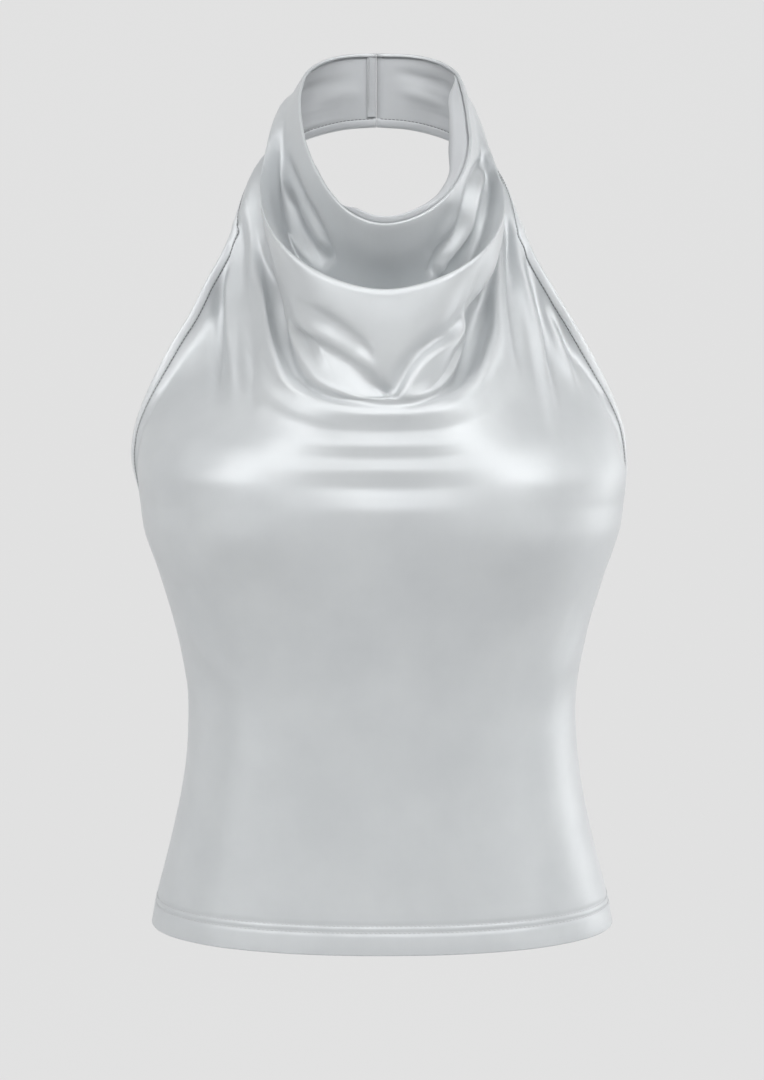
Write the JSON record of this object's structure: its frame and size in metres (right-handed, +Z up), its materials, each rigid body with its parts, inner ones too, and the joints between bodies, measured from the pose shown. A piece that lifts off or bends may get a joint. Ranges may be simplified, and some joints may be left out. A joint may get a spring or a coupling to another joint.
{
  "type": "halter neck top",
  "caption": "Sleeveless halter top of silver satin, filled out as worn: draped cowl front, band behind the neck, open back, bound armholes and a turned hem",
  "frame": {"origin": "middle of the neck loop, level with the middle of the band behind the neck, where the wearer's neck holds the top", "axes": "+Z up from hem to neck, -Y out of the front, +X to the right of someone who looks at the front"},
  "size_m": [0.3166, 0.233, 0.5673],
  "materials": {
    "satin": "silver satin with a soft broad sheen, smooth side out",
    "satin_binding": "narrow bias strip of the same satin, stitched along its inner edge",
    "satin_inside": "duller wrong side of the same satin"
  },
  "bodies": {
    "root": {"front_panel": "satin", "back_panel": "satin", "front_hem": "satin_inside", "back_hem": "satin_inside", "left_armhole_binding": "satin_binding", "right_armhole_binding": "satin_binding", "back_binding": "satin_binding", "cowl_facing": "satin_inside", "neck_seam_allowance": "satin_inside"}
  },
  "joints": []
}
